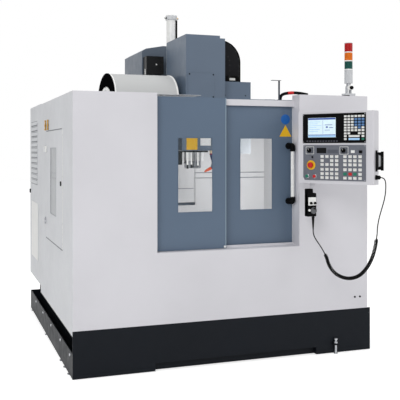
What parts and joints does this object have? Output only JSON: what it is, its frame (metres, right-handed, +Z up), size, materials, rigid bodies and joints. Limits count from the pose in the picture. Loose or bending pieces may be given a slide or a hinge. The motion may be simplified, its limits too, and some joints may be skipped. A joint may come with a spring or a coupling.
{
  "type": "cnc machining center",
  "caption": "Enclosed vertical milling machine with sliding doors, swivelling control console, tool carousel under an arched hood and a moving head, saddle and table.",
  "frame": {"origin": "centre of the footprint on the floor", "axes": "+X to the right along the front, +Y to the back, +Z up"},
  "size_m": [2.4025, 3.1833, 2.786],
  "materials": {
    "housing_paint": "smooth light grey paint",
    "side_paint": "smooth light grey paint",
    "base_paint": "dark blue-grey paint",
    "door_paint": "blue-grey paint",
    "cast_paint": "painted casting",
    "trough_paint": "blue paint",
    "ground_steel": "ground",
    "zinc_steel": "plated",
    "black_metal": "black enamel",
    "black_plastic": "fine matt grain",
    "grey_plastic": "fine matt grain",
    "white_tube": "satin white",
    "clear_pane": "clear",
    "lens_plastic": "clear coloured plastic",
    "red_plastic": "gloss",
    "green_plastic": "gloss",
    "cord_rubber": "matt sheath",
    "body_grey": "satin light grey"
  },
  "bodies": {
    "machine": {"base_tank": "base_paint", "machine_bed": "cast_paint", "levelling_feet": "zinc_steel", "column": "cast_paint", "guide_rails": "ground_steel", "servo_motors": "black_metal", "front_panel": "housing_paint", "door_frame": "housing_paint", "left_side_panel": "side_paint", "right_side_panel": "side_paint", "work_area_guard": "housing_paint", "electrical_cabinet": "side_paint", "magazine_cover": "housing_paint", "roof_plate": "housing_paint", "chain_trough": "trough_paint", "roof_bracket": "zinc_steel", "light_bracket": "grey_plastic"},
    "cross_slide": {"saddle": "cast_paint", "saddle_rails": "ground_steel", "table_servo_motor": "black_metal"},
    "table": {"work_table": "ground_steel"},
    "head": {"head_casting": "cast_paint", "head_cover": "door_paint", "spindle_motor": "black_metal", "booster_cylinder": "body_grey", "coolant_nozzles": "zinc_steel", "energy_chain": "black_metal"},
    "spindle": {"spindle": "ground_steel"},
    "table_drive": {"table_screw": "ground_steel"},
    "saddle_drive": {"saddle_screw": "ground_steel"},
    "head_drive": {"head_screw": "ground_steel"},
    "left_door": {"left_leaf": "door_paint", "left_window": "clear_pane"},
    "right_door": {"right_leaf": "door_paint", "right_window": "clear_pane", "door_handle": "white_tube"},
    "side_access": {"side_door": "side_paint", "side_window": "clear_pane"},
    "cabinet_access": {"cabinet_door": "side_paint"},
    "isolator": {"isolator_knob": "black_plastic"},
    "console": {"console_box": "housing_paint", "screen_unit": "black_plastic", "operator_panel": "grey_plastic", "console_handle": "black_plastic", "pendant": "black_plastic", "pendant_lead": "cord_rubber", "curly_cord": "cord_rubber", "console_lead": "cord_rubber", "lead_connector": "black_plastic"},
    "emergency_button": {"emergency_stop": "red_plastic"},
    "start_key": {"start_button": "green_plastic"},
    "stop_key": {"stop_button": "red_plastic"},
    "feed_selector": {"feed_dial": "black_plastic"},
    "mode_selector": {"mode_dial": "black_plastic"},
    "pendant_wheel": {"handwheel": "grey_plastic"},
    "signal_light": {"light_post": "body_grey", "light_lenses": "lens_plastic"},
    "magazine": {"magazine_carriage": "zinc_steel"},
    "tool_disc": {"carousel": "ground_steel", "tool_holders": "ground_steel"}
  },
  "joints": [
    {"name": "saddle_slide", "type": "slide", "parent": "machine", "child": "cross_slide", "axis": [0, 1, 0], "range_m": [-0.29, 0.14]},
    {"name": "table_slide", "type": "slide", "parent": "cross_slide", "child": "table", "axis": [1, 0, 0], "range_m": [-0.35, 0.35]},
    {"name": "head_slide", "type": "slide", "parent": "machine", "child": "head", "axis": [0, 0, 1], "range_m": [-0.5, 0]},
    {"name": "spindle_spin", "type": "hinge", "parent": "head", "child": "spindle", "pos_m": [0, -0.067, 1.5], "axis": [0, 0, 1], "continuous": true},
    {"name": "table_screw_turn", "type": "hinge", "parent": "cross_slide", "child": "table_drive", "pos_m": [0, -0.067, 0.704], "axis": [1, 0, 0], "range_deg": [-6301, 6301]},
    {"name": "saddle_screw_turn", "type": "hinge", "parent": "machine", "child": "saddle_drive", "pos_m": [0, -0.067, 0.56], "axis": [0, 1, 0], "range_deg": [-5221, 2521]},
    {"name": "head_screw_turn", "type": "hinge", "parent": "machine", "child": "head_drive", "pos_m": [0, 0.41, 1.7], "axis": [0, 0, 1], "range_deg": [-9001, 1]},
    {"name": "right_door_slide", "type": "slide", "parent": "machine", "child": "right_door", "axis": [-1, 0, 0], "range_m": [0, 0.96]},
    {"name": "left_door_slide", "type": "slide", "parent": "machine", "child": "left_door", "axis": [-1, 0, 0], "range_m": [0, 0.48]},
    {"name": "side_door_hinge", "type": "hinge", "parent": "machine", "child": "side_access", "pos_m": [-1.1955, 0.395, 1.3], "axis": [0, 0, -1], "range_deg": [0, 105]},
    {"name": "cabinet_door_hinge", "type": "hinge", "parent": "machine", "child": "cabinet_access", "pos_m": [-0.4765, 1.556, 1.2], "axis": [0, 0, -1], "range_deg": [0, 110]},
    {"name": "isolator_turn", "type": "hinge", "parent": "cabinet_access", "child": "isolator", "pos_m": [-1.11, 1.56, 1.178], "axis": [0, 1, 0], "range_deg": [0, 90]},
    {"name": "console_swivel", "type": "hinge", "parent": "machine", "child": "console", "pos_m": [0.58339, -0.98211, 1.6], "axis": [0, 0, 1], "range_deg": [-33, 56.8]},
    {"name": "emergency_stop_push", "type": "slide", "parent": "console", "child": "emergency_button", "axis": [0.8371, 0.5471, 0], "range_m": [0, 0.005]},
    {"name": "start_push", "type": "slide", "parent": "console", "child": "start_key", "axis": [0.8371, 0.5471, 0], "range_m": [0, 0.004], "stiffness_N_per_m": 400},
    {"name": "stop_push", "type": "slide", "parent": "console", "child": "stop_key", "axis": [0.8371, 0.5471, 0], "range_m": [0, 0.004], "stiffness_N_per_m": 400},
    {"name": "feed_dial_turn", "type": "hinge", "parent": "console", "child": "feed_selector", "pos_m": [0.56431, -1.12838, 1.59], "axis": [-0.8371, -0.5471, 0], "range_deg": [-120, 120]},
    {"name": "mode_dial_turn", "type": "hinge", "parent": "console", "child": "mode_selector", "pos_m": [0.71696, -1.36192, 1.589], "axis": [-0.8371, -0.5471, 0], "range_deg": [-135, 135]},
    {"name": "handwheel_spin", "type": "hinge", "parent": "console", "child": "pendant_wheel", "pos_m": [0.5925, -1.135, 1.138], "axis": [0, -1, 0], "continuous": true},
    {"name": "light_fold", "type": "hinge", "parent": "machine", "child": "signal_light", "pos_m": [1.0275, -0.907, 2.089], "axis": [-1, 0, 0], "range_deg": [0, 90]},
    {"name": "magazine_slide", "type": "slide", "parent": "machine", "child": "magazine", "axis": [1, 0, 0], "range_m": [0, 0.2495]},
    {"name": "carousel_spin", "type": "hinge", "parent": "magazine", "child": "tool_disc", "pos_m": [-0.4945, -0.067, 1.356], "axis": [0, 0, 1], "continuous": true}
  ],
  "couplings": [
    {"joint": "table_screw_turn", "follows": "table_slide", "rad_per_m": 314.16},
    {"joint": "saddle_screw_turn", "follows": "saddle_slide", "rad_per_m": 314.16},
    {"joint": "head_screw_turn", "follows": "head_slide", "rad_per_m": 314.16},
    {"joint": "left_door_slide", "follows": "right_door_slide", "ratio": 0.5}
  ]
}
